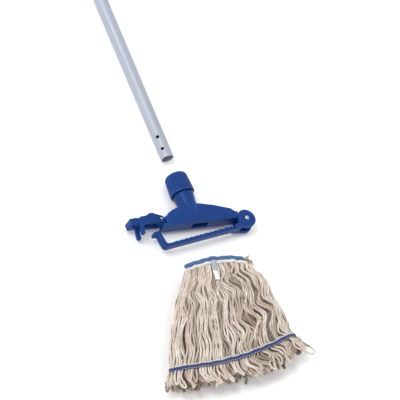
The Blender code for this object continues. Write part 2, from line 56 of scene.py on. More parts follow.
# Places read from the frame.
JOINTS = {joint["name"]: joint for joint in frame["joints"]}
HINGE = Vector(JOINTS["jaw_swing"]["pos_m"])
HINGE_BELOW = 0.003  # how far the rivet lies below the holder plate's underside
MID_Z = HINGE.z
TUBE_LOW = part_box("handle_tube")[0]
COLLAR_LOW, COLLAR_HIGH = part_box("lock_collar")
BASE_Y = HINGE.y + HINGE_BELOW

# The mop head's outline, as the frame has it. Rows run from the head band to the loop ends.
LEFT_EDGE = ((-0.0725, -0.1025), (-0.112, -0.158), (-0.150, -0.222), (-0.197, -0.314), (-0.214, -0.352))
RIGHT_EDGE = ((0.067, -0.102), (0.085, -0.146), (0.098, -0.200), (0.105, -0.264), (0.134, -0.298))
ROW_AT = (0.0, 0.25, 0.5, 0.8, 1.0)
LAST_ROW = 1.03  # how far down the lowest loops may reach
ARCH = 0.011  # how far the head band rises in the middle
SAG = 0.026  # how far the loop ends hang lower in the middle
BUNDLES = 6
BACK_LENGTH = 0.91  # the back layer lies shorter than the front one
BACK_INSET = 0.017  # how far the back layer keeps inside the left edge of the front one
HEAD_INSET = 0.022  # the same at the head band
SIDE_DROP = 0.6  # how much of the way to the middle the outer yarns sink
SIDE_FROM = 0.80  # where the outer yarns start, as a share of the way out from the middle
SIDE_GAP = 0.0035  # from the middle height to where each layer's outer yarns sink or rise

# Yarn.
YARN_R = 0.0021
YARN_SPREAD = (0.92, 1.10)  # each yarn's radius over the usual one
FLOOR_YARN = 1.11  # least height of a yarn's centre, in usual radii
PLIES = 3
TWIST_PITCH = 0.015
TWIST_DEPTH = 0.16
PLACE_SPREAD = 0.30  # how far a loop strays from its place, in loops
LOOP_HALF = (0.24, 0.34)  # half the distance between a loop's two sides, in loops
LOOP_FROM = (0.85, 0.945)  # the row where a loop's round end starts
LOOP_DEPTH = (0.035, 0.085)
OWN_TURNS = (2.5, 6.0)  # waves of each yarn's own along its length
OWN_WAVE = (0.0006, 0.0024)  # their reach in metres
SWAY = 0.0030  # reach of the waves that neighbours share
SWAY_RIGHT = 0.0044  # what is added to it on the right
FRINGE_SPREAD = 0.0095
LIFT = 0.0012
BOB = 0.0010
TONE_SPREAD = 0.17
TOP_YARNS_Z = 0.0438
LAYERS = (
    # layer, height of the yarns' centres, loops, sides of a yarn, step along it, tone with painted shade
    # (the lower front layers are darker for the shade between the yarns), seed
    ("back", 0.0024, 27, 9, 0.0026, 0.60, 11),
    ("back", 0.0068, 30, 6, 0.0060, 0.50, 12),
    ("back", 0.0112, 30, 6, 0.0050, 0.50, 13),
    ("front", 0.0350, 30, 6, 0.0060, 0.08, 14),
    ("front", 0.0392, 28, 9, 0.0026, 0.30, 15),
    ("front", TOP_YARNS_Z, 29, 12, 0.0020, 0.66, 16),
)
FRAY_YARNS = 70
FRAY_SEED = 31
FRAY_R = 0.0011

# Tail tape and its seams.
BAND_ROW = 0.775
BAND_WIDTH = 0.0075
TAIL_WIDTH = 0.31  # the mop head's width at the tail tape
TAPE_THICK = 0.0007
TAPE_OVER = 0.0014  # from the top yarns' upper side to the tape
TAPE_BACK_Z = 0.0007
CROWN = 1.15  # height of the tape's middle, in thicknesses
FLOOR_CLEAR = 0.0001
ZIGZAG_PITCH = 0.0026
ZIGZAG_REACH = 0.0012
ZIGZAG_UP = 0.0016  # from the tape's upper edge to the zigzag's middle
ZIGZAG_R = 0.00045
STITCH_PITCH = 0.0042
STITCH_SHARE = 0.72  # of the pitch that shows
STITCH_DOWN = 0.0064
STITCH_R = 0.0003

# Head tape, piping and label.
SKIRT = -0.0062  # the head tape's lower edge, below the yarns' fold
FOLD = 0.0030  # how far it stands above the fold
HEAD_OVER = 0.0006  # from the top yarns' upper side to the tape
HEAD_LOW = 0.0012
TAPE_ENDS = 0.95  # where the head tape stops, across the mop head
PIPING_ENDS = 0.90
PIPING_R = 0.0044
PIPING_IN = 0.0012  # from the tape's fold up to the piping's middle, and from its face down
LABEL_WIDTH = 0.0100
LABEL_LENGTH = 0.0400
LABEL_THICK = 0.0004
LABEL_Z = 0.0490

# Mouldings, collar and floor.
WELD = 0.00001
FLUTES = 20
FLUTE_DEPTH = 0.0014
COLLAR_SIDES = 320
FLOOR_SIZE = 6.0


# Camera and light -------------------------------------------------------------------------

ALBEDO = 0.83  # what a surface gives back of its colour, because the light is brighter than 1
FIELD = 0.746  # width of the view at the object
AMBIENT = 0.98
SUN_STRENGTH = 1.62
SUN_DEGREES = 25  # a wide sun, for soft shadows
CAMERA_DISTANCE = 4.0
AIM_RIGHT = 0.0606  # from the tube's lower end to the middle of the view
AIM_DOWN = 0.0769
RIGHT = Vector((0.8471, -0.3530, 0.3972))
UP = Vector((0.0950, 0.8360, 0.5403))
BACK = RIGHT.cross(UP).normalized()
AIM = Vector((0, TUBE_LOW.y, MID_Z)) + RIGHT * AIM_RIGHT - UP * AIM_DOWN


def add_camera():
    data = bpy.data.cameras.new("camera")
    data.type = "ORTHO"
    data.ortho_scale = FIELD
    camera = bpy.data.objects.new("camera", data)
    eye = AIM + BACK * CAMERA_DISTANCE
    camera.matrix_world = Matrix(
        (
            (RIGHT.x, UP.x, BACK.x, eye.x),
            (RIGHT.y, UP.y, BACK.y, eye.y),
            (RIGHT.z, UP.z, BACK.z, eye.z),
            (0, 0, 0, 1),
        )
    )
    bpy.context.scene.collection.objects.link(camera)
    bpy.context.scene.camera = camera


def add_sun():
    data = bpy.data.lights.new("key", "SUN")
    data.energy = SUN_STRENGTH
    data.angle = math.radians(SUN_DEGREES)
    sun = bpy.data.objects.new("key", data)
    towards = BACK * 0.95 + UP * 0.42 - RIGHT * 0.22
    sun.rotation_mode = "QUATERNION"
    sun.rotation_quaternion = (-towards).to_track_quat("-Z", "Y")
    bpy.context.scene.collection.objects.link(sun)


def add_light():
    world = bpy.data.worlds.new("studio")
    world.use_nodes = True
    background = world.node_tree.nodes["Background"]
    background.inputs["Color"].default_value = (1, 1, 1, 1)
    background.inputs["Strength"].default_value = AMBIENT
    bpy.context.scene.world = world
    add_sun()
    bpy.context.scene.view_settings.view_transform = "Standard"


# Shader helpers -----------------------------------------------------------------------------


class Shader:
    """A material's node tree, with short ways to add and join nodes."""

    def __init__(self, name, roughness, metallic=0.0):
        self.material = bpy.data.materials.new(name)
        self.material.use_nodes = True
        self.tree = self.material.node_tree
        self.surface = self.tree.nodes["Principled BSDF"]
        self.surface.inputs["Roughness"].default_value = roughness
        self.surface.inputs["Metallic"].default_value = metallic

    def node(self, kind, values=None, **settings):
        made = self.tree.nodes.new("ShaderNode" + kind)
        for name, value in settings.items():
            setattr(made, name, value)
        for name, value in (values or {}).items():
            if isinstance(value, bpy.types.NodeSocket):
                self.tree.links.new(value, made.inputs[name])
            else:
                made.inputs[name].default_value = value
        return made

    def place(self, kind="Object", scale=(1, 1, 1)):
        coordinates = self.node("TexCoord")
        mapping = self.node("Mapping", {"Vector": coordinates.outputs[kind], "Scale": scale})
        return mapping.outputs["Vector"]

    def noise(self, scale, detail=3.0, where=None, roughness=0.55):
        values = {"Scale": scale, "Detail": detail, "Roughness": roughness}
        values["Vector"] = self.place() if where is None else where
        return self.node("TexNoise", values).outputs["Fac"]

    def ramp(self, factor, stops):
        made = self.node("ValToRGB", {"Fac": factor})
        ramp = made.color_ramp
        while len(ramp.elements) < len(stops):
            ramp.elements.new(0.5)
        for element, (position, colour) in zip(ramp.elements, stops):
            element.position = position
            element.color = (*colour, 1.0)
        return made.outputs["Color"]

    def mix(self, factor, first, second, blend="MIX"):
        made = self.node("Mix", data_type="RGBA", blend_type=blend)
        sockets = (made.inputs[0], made.inputs[6], made.inputs[7])
        for socket, value in zip(sockets, (factor, first, second)):
            if isinstance(value, bpy.types.NodeSocket):
                self.tree.links.new(value, socket)
            elif isinstance(value, tuple):
                socket.default_value = (*value, 1.0)
            else:
                socket.default_value = value
        return made.outputs[2]

    def math(self, operation, first, second):
        made = self.node("Math", operation=operation)
        for socket, value in zip(made.inputs, (first, second)):
            if isinstance(value, bpy.types.NodeSocket):
                self.tree.links.new(value, socket)
            else:
                socket.default_value = value
        return made.outputs["Value"]

    def join(self, output, name):
        self.tree.links.new(output, self.surface.inputs[name])

    def bump(self, height, distance, strength=1.0, over=None):
        values = {"Height": height, "Distance": distance, "Strength": strength}
        if over is not None:
            values["Normal"] = over
        normal = self.node("Bump", values).outputs["Normal"]
        self.join(normal, "Normal")
        return normal


def linear(display):
    """One colour channel of 0 to 255 in display values, in linear light."""
    share = display / 255
    return ((share + 0.055) / 1.055) ** 2.4 if display > 10 else share / 12.92


def srgb(*channels):
    """A surface colour from red, green and blue in display values."""
    return tuple(ALBEDO * linear(channel) for channel in channels)


# Ramp ends of a mask, and of a tint that multiplies what is under it.
BLACK = (0, 0, 0)
WHITE = (1, 1, 1)


# Materials ----------------------------------------------------------------------------------


def blue_plastic():
    made = Shader("blue_plastic", 0.42)
    made.surface.inputs["Specular IOR Level"].default_value = 0.2
    cloud = made.noise(28.0, 2.0)
    colour = made.ramp(cloud, ((0.3, srgb(2, 50, 118)), (0.7, srgb(6, 60, 132))))
    # Painted highlight with some wear: convex edges turn a lighter blue, broken up by speckle like rubbed
    # spots.
    edge_pointiness = made.node("NewGeometry").outputs["Pointiness"]
    edge = made.ramp(edge_pointiness, ((0.50, BLACK), (0.56, WHITE)))
    speckle = made.ramp(made.noise(900.0, 2.0), ((0.45, BLACK), (0.75, WHITE)))
    edge_highlight_and_rub = made.math("MULTIPLY", edge, 0.35)
    edge_highlight_and_rub = made.math("MULTIPLY", edge_highlight_and_rub, made.math("ADD", speckle, 0.4))
    made.join(made.mix(edge_highlight_and_rub, colour, srgb(70, 116, 180)), "Base Color")
    fine = made.noise(1400.0, 2.0)
    coarse = made.noise(120.0, 2.0)
    made.join(made.math("ADD", made.math("MULTIPLY", coarse, 0.14), 0.34), "Roughness")
    first = made.bump(coarse, 0.00022)
    made.bump(fine, 0.00005, over=first)
    return made.material


def aluminium():
    made = Shader("aluminium", 0.36, 0.45)
    lengthwise = made.place(scale=(900, 6, 900))
    lines = made.noise(1.0, 4.0, lengthwise)
    blotch = made.noise(14.0, 3.0, made.place(scale=(3, 1, 3)))
    colour = made.ramp(lines, ((0.25, srgb(166, 174, 188)), (0.75, srgb(192, 198, 210))))
    soft = made.ramp(blotch, ((0.35, (0.93, 0.93, 0.94)), (0.7, WHITE)))
    made.join(made.mix(1.0, colour, soft, "MULTIPLY"), "Base Color")
    scratch = made.noise(1.0, 2.0, made.place(scale=(1500, 22, 1500)))
    marks = made.ramp(scratch, ((0.66, BLACK), (0.78, WHITE)))
    roughness = made.math("ADD", made.math("MULTIPLY", lines, 0.16), 0.36)
    made.join(made.math("ADD", roughness, made.math("MULTIPLY", marks, 0.12)), "Roughness")
    made.bump(lines, 0.00005)
    return made.material


def steel():
    made = Shader("steel", 0.24, 1.0)
    grain = made.noise(1800.0, 3.0)
    made.join(made.ramp(grain, ((0.3, srgb(196, 196, 198)), (0.7, srgb(232, 232, 234)))), "Base Color")
    made.join(made.math("ADD", made.math("MULTIPLY", grain, 0.18), 0.14), "Roughness")
    made.bump(grain, 0.00002)
    return made.material


def grey_plastic():
    made = Shader("grey_plastic", 0.55)
    cloud = made.noise(60.0, 3.0)
    made.join(made.ramp(cloud, ((0.3, srgb(70, 74, 80)), (0.7, srgb(92, 96, 102)))), "Base Color")
    fine = made.noise(1600.0, 2.0)
    made.join(made.math("ADD", made.math("MULTIPLY", fine, 0.2), 0.45), "Roughness")
    made.bump(fine, 0.00008)
    return made.material


def cotton_yarn():
    """Undyed plied cotton. Each yarn has a tone of its own, and the lower front layers get darker tones as
    painted shade between the yarns. The grooves between its plies are darker with painted shade."""
    made = Shader("cotton_yarn", 0.96)
    tone_and_shade = made.node("Attribute", attribute_name="tone_and_shade").outputs["Fac"]
    groove = made.node("Attribute", attribute_name="groove").outputs["Fac"]
    # The dark end of this ramp is painted shade, reached by the darker tones of the lower yarn layers.
    shades = (
        (0.0, srgb(92, 72, 58)),
        (0.33, srgb(198, 180, 164)),
        (0.66, srgb(246, 235, 224)),
        (1.0, srgb(255, 252, 246)),
    )
    colour = made.ramp(tone_and_shade, shades)
    dirt = made.ramp(made.noise(36.0, 4.0), ((0.35, srgb(222, 208, 192)), (0.62, WHITE)))
    colour = made.mix(0.6, colour, dirt, "MULTIPLY")
    # Painted shade in the grooves between the plies.
    painted_groove_shade = made.ramp(groove, ((0.0, srgb(170, 150, 130)), (0.6, WHITE)))
    colour = made.mix(0.6, colour, painted_groove_shade, "MULTIPLY")
    fibre = made.noise(2600.0, 3.0)
    speck = made.ramp(fibre, ((0.3, (0.86, 0.84, 0.81)), (0.7, WHITE)))
    made.join(made.mix(0.8, colour, speck, "MULTIPLY"), "Base Color")
    made.surface.inputs["Sheen Weight"].default_value = 0.25
    made.surface.inputs["Sheen Roughness"].default_value = 0.6
    made.bump(fibre, 0.00035)
    return made.material


def thread():
    made = Shader("thread", 0.7)
    fibre = made.noise(1800.0, 2.0)
    made.join(made.ramp(fibre, ((0.3, srgb(214, 220, 230)), (0.7, srgb(244, 247, 252)))), "Base Color")
    made.bump(fibre, 0.0001)
    return made.material


def woven(name, dark, light, along=2400.0, across=10.0):
    """Woven tape. Its threads follow the tape by the piece's own UVs: U in metres along it,
    V from 0 to 1 across it."""
    made = Shader(name, 0.9)
    coordinates = made.node("UVMap", uv_map="tape").outputs["UV"]
    split = made.node("SeparateXYZ", {"Vector": coordinates})
    warp = made.math("SINE", made.math("MULTIPLY", split.outputs["Y"], across * 2 * math.pi), 0)
    weft = made.math("SINE", made.math("MULTIPLY", split.outputs["X"], along), 0)
    weave = made.math("MULTIPLY", warp, weft)
    height = made.math("ADD", made.math("MULTIPLY", weave, 0.5), 0.5)
    colour = made.ramp(height, ((0.0, dark), (0.8, light)))
    wear = made.ramp(made.noise(70.0, 3.0), ((0.35, (0.80, 0.80, 0.82)), (0.65, WHITE)))
    made.join(made.mix(0.8, colour, wear, "MULTIPLY"), "Base Color")
    made.surface.inputs["Sheen Weight"].default_value = 0.2
    first = made.bump(height, 0.0003)
    made.bump(made.noise(2400.0, 2.0), 0.0001, over=first)
    return made.material


def satin_label():
    """Blank satin ribbon. Its end is folded double, so it is whiter than the rest."""
    made = Shader("satin_label", 0.5)
    coordinates = made.node("UVMap", uv_map="tape").outputs["UV"]
    split = made.node("SeparateXYZ", {"Vector": coordinates})
    tint = made.ramp(
        made.math("MULTIPLY", split.outputs["X"], 25.0),
        ((0.50, srgb(176, 182, 190)), (0.58, srgb(250, 250, 250))),
    )
    threads = made.math("SINE", made.math("MULTIPLY", split.outputs["Y"], 260.0), 0)
    fine = made.math("ADD", made.math("MULTIPLY", threads, 0.5), 0.5)
    shade = made.ramp(fine, ((0.0, (0.8, 0.8, 0.82)), (0.6, WHITE)))
    made.join(made.mix(0.25, tint, shade, "MULTIPLY"), "Base Color")
    made.join(made.math("ADD", made.math("MULTIPLY", made.noise(300.0), 0.2), 0.4), "Roughness")
    made.bump(fine, 0.0001)
    return made.material


def floor_finish():
    made = Shader("floor_finish", 0.8)
    cloud = made.noise(2.0, 2.0)
    made.join(made.ramp(cloud, ((0.3, (0.965, 0.965, 0.965)), (0.7, (0.975, 0.975, 0.975)))), "Base Color")
    return made.material


# Mesh helpers -------------------------------------------------------------------------------


def add_piece(name, mesh, material, body, stands_for=()):
    piece = bpy.data.objects.new(name, mesh)
    bpy.context.scene.collection.objects.link(piece)
    mesh.materials.clear()
    mesh.materials.append(material)
    mesh.shade_smooth()
    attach(piece, body)
    if stands_for:
        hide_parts(*stands_for)
    return piece


def grid_mesh(name, points, closed_u=False, closed_v=False):
    """A mesh through rows of points of shape (rows, columns, 3). u runs along a row."""
    rows, columns = points.shape[:2]
    index = np.arange(rows * columns).reshape(rows, columns)
    if closed_v:
        index = np.vstack([index, index[:1]])
    if closed_u:
        index = np.hstack([index, index[:, :1]])
    quads = np.stack([index[:-1, :-1], index[:-1, 1:], index[1:, 1:], index[1:, :-1]], -1).reshape(-1, 4)
    mesh = bpy.data.meshes.new(name)
    mesh.from_pydata(points.reshape(-1, 3).tolist(), [], quads.tolist())
    return mesh


def length_along(path):
    """How far along a path each of its points lies."""
    return np.concatenate([[0], np.cumsum(np.linalg.norm(np.diff(path, axis=0), axis=1))])


def tube_rings(path, radius, sides, lobes=0, depth=0.0, pitch=1.0, phase=0.0):
    """Rings of points round a path, and how high each stands between the plies, 0 to 1."""
    ahead = np.gradient(path, axis=0)
    ahead /= np.linalg.norm(ahead, axis=1)[:, None]
    side = np.cross(ahead, (0.0, 0.0, 1.0))
    side /= np.maximum(np.linalg.norm(side, axis=1), 1e-9)[:, None]
    top = np.cross(side, ahead)
    gone = length_along(path)[:, None]
    angle = np.arange(sides) * 2 * math.pi / sides
    turn = angle[None, :] + 2 * math.pi * gone / pitch / max(lobes, 1) + phase
    ridge = 0.5 + 0.5 * np.cos(lobes * turn) if lobes else np.ones_like(turn)
    reach = np.asarray(radius).reshape(-1, 1) * (1 - depth * (1 - ridge))
    out = side[:, None] * np.cos(angle)[None, :, None] + top[:, None] * np.sin(angle)[None, :, None]
    return path[:, None] + out * reach[..., None], ridge


class Soft:
    """Collects tubes into one mesh, with a tone value, which also carries painted shade, and a groove
    value for each point.
    """

    def __init__(self):
        self.points = []
        self.faces = []
        self.tones_and_shades = []
        self.grooves = []
        self.count = 0

    def add(self, path, radius, sides, tone_and_shade, **twist):
        rings, ridge = tube_rings(path, radius, sides, **twist)
        steps = len(path)
        index = np.arange(steps * sides).reshape(steps, sides) + self.count
        around = np.hstack([index, index[:, :1]])
        quads = np.stack([around[:-1, 1:], around[:-1, :-1], around[1:, :-1], around[1:, 1:]], -1)
        self.faces += quads.reshape(-1, 4).tolist()
        self.faces += [index[0].tolist(), index[-1][::-1].tolist()]
        self.points.append(rings.reshape(-1, 3))
        self.tones_and_shades.append(np.full(steps * sides, tone_and_shade))
        self.grooves.append(ridge.reshape(-1))
        self.count += steps * sides

    def mesh(self, name):
        mesh = bpy.data.meshes.new(name)
        mesh.from_pydata(np.concatenate(self.points).tolist(), [], self.faces)
        for label, values in (("tone_and_shade", self.tones_and_shades), ("groove", self.grooves)):
            layer = mesh.attributes.new(label, "FLOAT", "POINT")
            layer.data.foreach_set("value", np.concatenate(values).astype(np.float32))
        return mesh


# Mop head -----------------------------------------------------------------------------------


def hermite(points, rows):
    """Smooth curve through points at ROW_AT, read at an array of rows."""
    knots = np.array(ROW_AT)
    points = np.array(points)
    last = len(knots) - 1
    after = np.minimum(np.arange(last + 1) + 1, last)
    before = np.maximum(np.arange(last + 1) - 1, 0)
    slopes = (points[after] - points[before]) / (knots[after] - knots[before])[:, None]
    i = np.clip(np.searchsorted(knots, rows, side="right") - 1, 0, last - 1)
    span = (knots[i + 1] - knots[i])[:, None]
    f = (rows[:, None] - knots[i][:, None]) / span
    return (
        points[i] * (2 * f**3 - 3 * f**2 + 1)
        + slopes[i] * span * (f**3 - 2 * f**2 + f)
        + points[i + 1] * (3 * f**2 - 2 * f**3)
        + slopes[i + 1] * span * (f**3 - f**2)
    )


def mop_points(rows, across):
    """Points of the mop head in X and Y, at arrays of rows and of places across it."""
    rows, across = np.broadcast_arrays(np.asarray(rows, float), np.asarray(across, float))
    left = hermite(LEFT_EDGE, rows)
    right = hermite(RIGHT_EDGE, rows)
    flat = left + (right - left) * across[:, None]
    flat[:, 1] += BASE_Y + (ARCH - (ARCH + SAG) * rows) * 4 * across * (1 - across)
    return flat


def ease(value, low, high):
    """0 below low, 1 above high, and a smooth step between them."""
    share = np.clip((value - low) / (high - low), 0, 1)
    return share * share * (3 - 2 * share)


def sway(place, rows):
    """How far the yarns lean to the right, in metres: waves that neighbours share, and that
    are longest on the right."""
    reach = SWAY + SWAY_RIGHT * float(ease(place, 0.35, 0.70))
    phase = 2 * math.pi * (0.62 * place + 0.09 * math.sin(9 * place)) - 1.2
    long = np.sin(phase + 2 * math.pi * 3.3 * rows)
    short = 0.4 * np.sin(2.3 * phase + 2 * math.pi * 6.1 * rows + 1)
    calm = 1 - 0.7 * float(ease(abs(2 * place - 1), SIDE_FROM, 1.0))
    return reach * calm * (long + short)


def yarn_path(place, gap, layer_z, end, random, step):
    """One looped yarn: down from the head band, round its loop, and back up beside itself."""
    straight = np.linspace(0, end, max(14, int(0.25 * end / step)))
    half_turn = np.linspace(0, math.pi, max(8, int(0.045 / step)))
    depth = random.uniform(*LOOP_DEPTH)
    rows = np.concatenate([straight, end + depth * np.sin(half_turn[1:-1]), straight[::-1]])
    middle = np.concatenate([-np.ones(len(straight)), -np.cos(half_turn[1:-1]), np.ones(len(straight))])
    width = np.linalg.norm(hermite(RIGHT_EDGE, rows) - hermite(LEFT_EDGE, rows), axis=1)
    pinch = 1 - 0.75 * np.exp(-(((rows - BAND_ROW - 0.01) / 0.03) ** 2))
    own_turns = random.uniform(*OWN_TURNS)
    own = np.sin(random.uniform(0, 6.28) + 2 * math.pi * own_turns * rows + 0.7 * middle)
    shared = sway(place, rows + random.normal(0, 0.020)) * random.uniform(0.75, 1.25)
    lean = (shared + own * random.uniform(*OWN_WAVE)) * ease(rows, 0.02, 0.16) * pinch
    fringe = ease(rows, BAND_ROW + 0.02, 1.0) * random.normal(0, FRINGE_SPREAD)
    spread = gap * (0.45 + 0.55 * ease(rows, 0.0, 0.35)) * middle
    across = np.clip(place + (lean + fringe) / width + spread, -0.004, 1.004)
    if layer_z < MID_Z:
        inset = (HEAD_INSET + (BACK_INSET - HEAD_INSET) * ease(rows, 0.0, 0.4)) / width
        across = inset + (1 - inset) * across
        rows = rows * BACK_LENGTH
    flat = mop_points(np.clip(rows, 0, LAST_ROW), across)
    bob = np.sin(2 * math.pi * (own_turns + 0.9) * rows + middle + 9 * place) * BOB
    lift = random.uniform(-LIFT, LIFT)
    z = layer_z + (lift * ease(rows, 0.05, 0.3) + bob * ease(rows, 0.03, 0.2)) * pinch
    side = ease(np.abs(2 * across - 1), SIDE_FROM, 1.0) * ease(rows, 0.28, 0.5)
    middle_z = MID_Z + (SIDE_GAP if layer_z > MID_Z else -SIDE_GAP)
    z = z + (middle_z - z) * side * SIDE_DROP
    return np.column_stack([flat, np.maximum(z, YARN_R * FLOOR_YARN)])


def stray_loop():
    """The open loop that stands out at the right end of the fringe."""
    points = [(0.096, -0.255), (0.108, -0.268), (0.121, -0.279), (0.133, -0.285), (0.1385, -0.291)]
    points += [(0.1385, -0.2985), (0.132, -0.3025), (0.125, -0.298), (0.115, -0.286), (0.102, -0.268)]
    knots = np.arange(len(points))
    at = np.linspace(0, len(points) - 1, 60)
    weight = np.exp(-((at[:, None] - knots) ** 2) * 1.6)
    flat = weight @ np.array(points) / weight.sum(axis=1)[:, None]
    height = MID_Z - 0.004 + 0.004 * np.sin(np.linspace(0, math.pi, len(at)))
    return np.column_stack([flat[:, 0], BASE_Y + flat[:, 1], height])


def strings(material):
    collected = {(layer, k): Soft() for layer in ("front", "back") for k in range(BUNDLES)}
    for layer, height, loops, sides, step, layer_tone_and_shade, seed in LAYERS:
        random = np.random.default_rng(seed)
        for number in range(loops):
            place = (number + 0.5 + random.uniform(-PLACE_SPREAD, PLACE_SPREAD)) / loops
            gap = random.uniform(*LOOP_HALF) / loops
            end = random.uniform(*LOOP_FROM)
            path = yarn_path(place, gap, height, end, random, step)
            radius = YARN_R * random.uniform(*YARN_SPREAD)
            # Painted shade: each layer's tone darkens the lower front yarns, and a random spread gives
            # each yarn its own tone.
            tone_and_shade = float(np.clip(random.normal(layer_tone_and_shade, TONE_SPREAD), 0, 1))
            lobes = PLIES if sides >= 9 else 0
            bundle = min(int(place * BUNDLES), BUNDLES - 1)
            collected[layer, bundle].add(
                path,
                radius,
                sides,
                tone_and_shade,
                lobes=lobes,
                depth=TWIST_DEPTH if lobes else 0.0,
                pitch=TWIST_PITCH,
                phase=random.uniform(0, 6),
            )
    twist = {"lobes": PLIES, "depth": TWIST_DEPTH, "pitch": TWIST_PITCH}
    collected["front", BUNDLES - 1].add(stray_loop(), YARN_R * 0.8, 12, 0.8, **twist)
    for (layer, bundle), soft in collected.items():
        name = f"yarns_{layer}_{bundle + 1}"
        node = f"strings_{layer}_{bundle + 1}"
        add_piece(name, soft.mesh(name), material, "mop_head", [node])


def tape_uv(mesh, rows, columns, along, across):
    """UVs for a strip: metres along it in U and a share of its width in V."""
    layer = mesh.uv_layers.new(name="tape")
    u = np.broadcast_to(along[:, None], (rows, columns)).reshape(-1)
    v = np.broadcast_to(across[None, :], (rows, columns)).reshape(-1)
    loops = np.zeros(len(mesh.loops), np.int32)
    mesh.loops.foreach_get("vertex_index", loops)
    layer.data.foreach_set("uv", np.column_stack([u[loops], v[loops]]).astype(np.float32).reshape(-1))


def strip(name, section, along, material, body, stands_for):
    """A closed strip from an array of sections, each a ring of points."""
    mesh = grid_mesh(name, section, closed_u=True)
    rows, columns = section.shape[:2]
    first = list(range(columns))
    last = [(rows - 1) * columns + i for i in range(columns)]
    shape = bmesh.new()
    shape.from_mesh(mesh)
    shape.verts.ensure_lookup_table()
    shape.faces.new([shape.verts[i] for i in first[::-1]])
    shape.faces.new([shape.verts[i] for i in last])
    bmesh.ops.recalc_face_normals(shape, faces=shape.faces)
    shape.to_mesh(mesh)
    shape.free()
    tape_uv(mesh, rows, columns, along, np.linspace(0, 1, columns))
    return add_piece(name, mesh, material, body, stands_for)


def tail_band(layer, material):
    """Navy tape that is sewn across the yarns and dips a little between them."""
    steps = 220
    share = np.linspace(0.0, 1.0, steps)
    inset = BACK_INSET / TAIL_WIDTH if layer == "back" else 0.0
    upper = mop_points(np.full(steps, BAND_ROW), inset + (1 - inset) * share)
    ripple = 0.0006 * np.sin(share * 27 * 2 * math.pi) + 0.0004 * np.sin(share * 23 + 1.3)
    side = ease(np.abs(2 * share - 1), SIDE_FROM, 1.0)
    if layer == "front":
        face = TOP_YARNS_Z + YARN_R + TAPE_OVER
        z = face + ripple + (MID_Z + SIDE_GAP + YARN_R - face) * side * SIDE_DROP
        out = 1.0
    else:
        face = TAPE_BACK_Z
        z = face + 0.4 * np.abs(ripple) + (MID_Z - SIDE_GAP - YARN_R - face) * side * SIDE_DROP
        out = -1.0
    # Share of the width below the upper edge, and height out of the face in thicknesses.
    profile = [(0.0, 0.7), (0.1, 1.0), (0.5, CROWN), (0.9, 1.0)]
    profile += [(1.0, 0.7), (1.0, -0.6), (0.5, -0.5), (0.0, -0.6)]
    section = np.zeros((steps, len(profile), 3))
    wobble = 0.0005 * np.sin(share * 61) + 0.0004 * np.sin(share * 27 + 2)
    for k, (down, height) in enumerate(profile):
        section[:, k, 0] = upper[:, 0]
        section[:, k, 1] = upper[:, 1] - down * BAND_WIDTH + wobble
        section[:, k, 2] = np.maximum(z + out * height * TAPE_THICK, FLOOR_CLEAR)
    along = length_along(upper)
    name = f"tail_tape_{layer}"
    piece = strip(name, section, along, material, "mop_head", [f"tail_band_{layer}"])
    return upper, z + out * TAPE_THICK * CROWN, wobble


def tail_stitches(upper, face, wobble, material):
    """A white zigzag seam over the front tail tape's upper edge, and short stitches along its
    lower one."""
    soft = Soft()
    along = length_along(upper)
    at = np.arange(0.001, along[-1] - 0.001, 0.0004)
    swing = np.arcsin(np.sin(at * 2 * math.pi / ZIGZAG_PITCH)) * 2 / math.pi
    x = np.interp(at, along, upper[:, 0])
    y = np.interp(at, along, upper[:, 1] + wobble) + ZIGZAG_UP + swing * ZIGZAG_REACH
    z = np.interp(at, along, face) + 0.0003
    soft.add(np.column_stack([x, y, z]), ZIGZAG_R, 6, 1.0)
    for number in range(int(along[-1] / STITCH_PITCH) - 1):
        start = (number + 0.2) * STITCH_PITCH
        at = np.linspace(start, start + STITCH_PITCH * STITCH_SHARE, 5)
        x = np.interp(at, along, upper[:, 0])
        y = np.interp(at, along, upper[:, 1] + wobble) - STITCH_DOWN
        rise = STITCH_R * np.sin(np.linspace(0.1, math.pi - 0.1, 5))
        z = np.interp(at, along, face) + 0.0001 + rise
        soft.add(np.column_stack([x, y, z]), STITCH_R, 6, 0.9)
    mesh = soft.mesh("tail_stitches")
    add_piece("tail_stitches", mesh, material, "mop_head", ["tail_stitching"])


